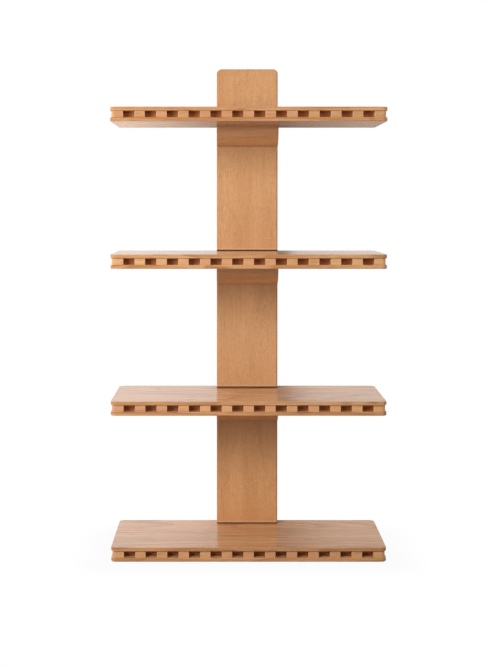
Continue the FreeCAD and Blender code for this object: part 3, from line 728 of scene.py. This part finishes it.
def soft_lamp(name, place, width, height, watts):
    """A rectangular lamp that looks at AIM, and that neither the camera nor a mirror sees."""
    light = bpy.data.lights.new(name, "AREA")
    light.shape = "RECTANGLE"
    light.size, light.size_y = width, height
    light.energy = watts
    holder = bpy.data.objects.new(name, light)
    holder.location = place
    towards = [aim - start for aim, start in zip(AIM, place)]
    tilt = math.atan2(math.hypot(towards[0], towards[1]), -towards[2])
    turn = math.atan2(-towards[0], towards[1])
    holder.rotation_euler = (tilt, 0.0, turn)
    holder.visible_camera = False
    holder.visible_glossy = False
    bpy.context.scene.collection.objects.link(holder)
    print(name, "is", round(math.hypot(*towards), 2), "m from the point it looks at")


soft_lamp("key_lamp", place=(-2.22, -2.22, 1.8), width=1.2, height=1.8, watts=92.0)
soft_lamp("fill_lamp", place=(1.59, -2.45, 2.35), width=1.2, height=1.4, watts=33.0)

# %% [markdown]
# ## The cove
#
# Behind the bookshelf a white backdrop curves up from the floor, as in a photo studio. The lacquer mirrors it, and
# that is what pales the shelf tops and the underside of the top shelf. It could be a bent sheet with lamps of its own.
# Here it is painted on the world, where a direction is all that has to be known: `aside` says how far it points to the
# right for every metre ahead, and `way["Z"]` how far up. Low down, the cove is warm and bright on the left, and
# straight behind the spine it is dark, a painted shadow of the spine on the cove's foot.

# %% The foot of the cove
PURE_WHITE = (1.0, 1.0, 1.0, 1.0)
WARM_WHITE = (1.0, 0.74, 0.58, 1.0)
LEAST_AHEAD = 0.05
FOOT_HEIGHTS = (-0.09, 0.06)

world = bpy.data.worlds.new("white_cove")
bpy.context.scene.world = world
world.use_nodes = True
tree = world.node_tree
tree.nodes.clear()
output = tree.nodes.new("ShaderNodeOutputWorld")
way = put(tree, "SeparateXYZ", Vector=put(tree, "TexCoord").outputs["Generated"]).outputs
aside = sums(tree, "DIVIDE", way["X"], sums(tree, "MAXIMUM", way["Y"], LEAST_AHEAD))
# Painted shadow: the foot darkens towards the spine from both sides, as the spine's shadow on the cove.
foot_left = span(tree, aside, low=-0.094, high=0.030, to_low=2.9, to_high=0.0, curve="LINEAR")
foot_right = span(tree, aside, low=0.040, high=0.126, to_low=0.18, to_high=1.30, curve="LINEAR")
foot = sums(tree, "MAXIMUM", foot_left, foot_right)
above_foot = span(tree, way["Z"], *FOOT_HEIGHTS)
shade = tint(tree, above_foot, WARM_WHITE, PURE_WHITE)
print("the foot of the cove ends at a rise of", FOOT_HEIGHTS[1])

# %% [markdown]
# ## The cove higher up
#
# Above its foot the cove is white, and it fades to the right, the more so the higher it is. An upright dark strip in
# it is a painted shadow of the spine on the cove. The lacquer mirrors it next to the spine's own reflection, so that
# each shelf top shows a dark band to the right of the spine. A dark board behind the bookshelf would give the same
# band, but it would show in other views.

# %% Brightness of the cove
SIDES = (-0.13, 0.13)
MIDDLE, HIGH = (1.32, 1.08), (1.42, 0.60)  # brightness on the left and on the right
UPPER_HEIGHTS = (0.10, 0.35)
# The strip is a painted shadow of the spine on the cove.
SHADOW_STRIP_LEFT, SHADOW_STRIP_RIGHT, SHADOW_STRIP_LEAN = (0.012, 0.024), (0.053, 0.063), 0.014
LEAN_HEIGHTS = (0.10, 0.30)
BRIGHTER_TO, BRIGHTER_BY = 0.13, 0.12

middle, high = [span(tree, way["X"], *SIDES, *ends) for ends in (MIDDLE, HIGH)]
upper = blend(tree, span(tree, way["Z"], *UPPER_HEIGHTS), middle, high)
# Painted shadow: the cove goes dark between these two edges of the strip.
left_of_shadow_strip = span(tree, aside, *SHADOW_STRIP_LEFT, 1.0, 0.0)
lean = span(tree, way["Z"], *LEAN_HEIGHTS, 0.0, SHADOW_STRIP_LEAN)
past_spine = sums(tree, "SUBTRACT", aside, lean)
right_of_shadow_strip = span(tree, past_spine, *SHADOW_STRIP_RIGHT, 0.0, 1.0)
brighter = span(tree, past_spine, SHADOW_STRIP_RIGHT[1], BRIGHTER_TO, 0.0, BRIGHTER_BY, "LINEAR")
clear = sums(tree, "MAXIMUM", left_of_shadow_strip, sums(tree, "ADD", right_of_shadow_strip, brighter))
cove = blend(tree, above_foot, foot, sums(tree, "MULTIPLY", upper, clear))
print("the cove is", round(HIGH[0] / HIGH[1], 1), "times as bright on the left as on the right, high up")

# %% [markdown]
# ## The room around it
#
# The cove ends at the sides, and the room in front of it is dark apart from a pale wall on the right. Three kinds of
# rays then see three things. The camera sees pure white, which gives the picture its background. Mirror-like
# reflections see the cove, a little dimmer near the horizon, so that the tops don't turn chalky. All other rays see
# the room as it is and light the bookshelf with it. One plain white world would be simpler, but it would flatten every
# shelf.

# %% What each kind of ray sees
COVE_DEPTHS = (-0.25, 0.45)
WALL_SIDES, WALL_BRIGHTNESS = (0.55, 0.9), 0.5

around_sides = sums(tree, "MULTIPLY", cove, span(tree, way["Y"], *COVE_DEPTHS))
right_wall = sums(tree, "MULTIPLY", span(tree, way["X"], *WALL_SIDES, 0.0, WALL_BRIGHTNESS), above_foot)
room = sums(tree, "MAXIMUM", around_sides, right_wall)
near_horizon = span(tree, way["Z"], low=-0.08, high=0.05, to_low=0.62, to_high=0.77)
higher_up = span(tree, way["Z"], low=0.16, high=0.30, to_low=0.0, to_high=0.23)
mirrored_room = sums(tree, "MULTIPLY", room, sums(tree, "ADD", near_horizon, higher_up))

path = put(tree, "LightPath").outputs
seen = sums(tree, "MAXIMUM", path["Is Camera Ray"], path["Is Transmission Ray"])
seen = sums(tree, "MAXIMUM", seen, path["Is Glossy Ray"])
backdrop_colour = tint(tree, path["Is Glossy Ray"], PURE_WHITE, shade)
backdrop_strength = blend(tree, path["Is Glossy Ray"], 1.0, mirrored_room)
backdrop = put(tree, "Background", Color=backdrop_colour, Strength=backdrop_strength)
around = put(tree, "Background", Color=shade, Strength=room)
mixed = put(tree, "MixShader", Fac=seen)
tree.links.new(around.outputs["Background"], mixed.inputs[1])
tree.links.new(backdrop.outputs["Background"], mixed.inputs[2])
tree.links.new(mixed.outputs["Shader"], output.inputs["Surface"])
print("the world has", len(tree.nodes), "nodes")

# %% [markdown]
# ## Camera
#
# The camera stands about three and a half metres in front, a little left of the middle and just above two thirds
# of the bookshelf's height. It could simply be aimed at the middle, but then the upright lines would lean. So it
# looks almost straight ahead, only a degree or so down, and the lens shift brings the bookshelf into the middle of
# the picture, as a view camera does it.

# %% The camera
TILT_DOWN = 1.4

eye = bpy.data.cameras.new("front_camera")
eye.lens = 59.48
eye.sensor_width = 36.0
eye.shift_x = 0.036
eye.shift_y = -0.1536
camera = bpy.data.objects.new("front_camera", eye)
camera.location = (-0.0699, -3.5203, 1.1064)
camera.rotation_euler = (math.radians(90 - TILT_DOWN), 0.0, 0.0)
bpy.context.scene.collection.objects.link(camera)
bpy.context.scene.camera = camera
bpy.context.scene.view_settings.view_transform = "Standard"
print("camera at", tuple(round(v, 3) for v in camera.location))
